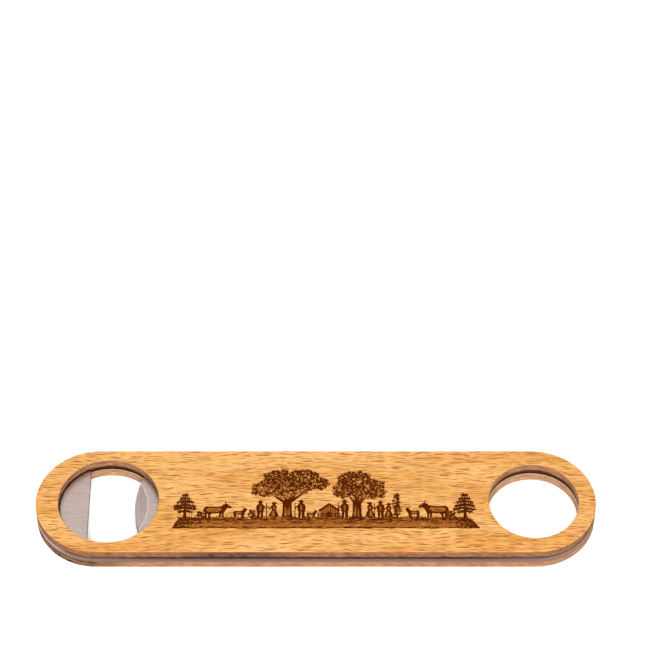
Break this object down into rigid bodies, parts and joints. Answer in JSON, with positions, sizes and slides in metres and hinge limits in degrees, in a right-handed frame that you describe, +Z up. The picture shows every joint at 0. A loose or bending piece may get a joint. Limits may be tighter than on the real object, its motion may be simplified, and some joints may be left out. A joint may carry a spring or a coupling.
{
  "type": "bottle opener",
  "caption": "Flat round-ended bar bottle opener: steel blade with cap mouth and hanging hole, bonded between two engraved wooden scales.",
  "frame": {"origin": "centre of the bounding box on the underside, where the opener rests", "axes": "+X along the length towards the hanging hole, -X towards the cap mouth, +Y across the width, +Z up out of the engraved face"},
  "size_m": [0.18, 0.04, 0.0083],
  "materials": {
    "top_wood": "oiled beech, laser engraved",
    "bottom_wood": "oiled beech",
    "blade_steel": "fine brushed stainless",
    "bonding_film": "dark adhesive film"
  },
  "bodies": {
    "root": {"bottom_scale": "bottom_wood", "bottom_bonding_film": "bonding_film", "steel_blade": "blade_steel", "top_bonding_film": "bonding_film", "top_scale": "top_wood"}
  },
  "joints": []
}
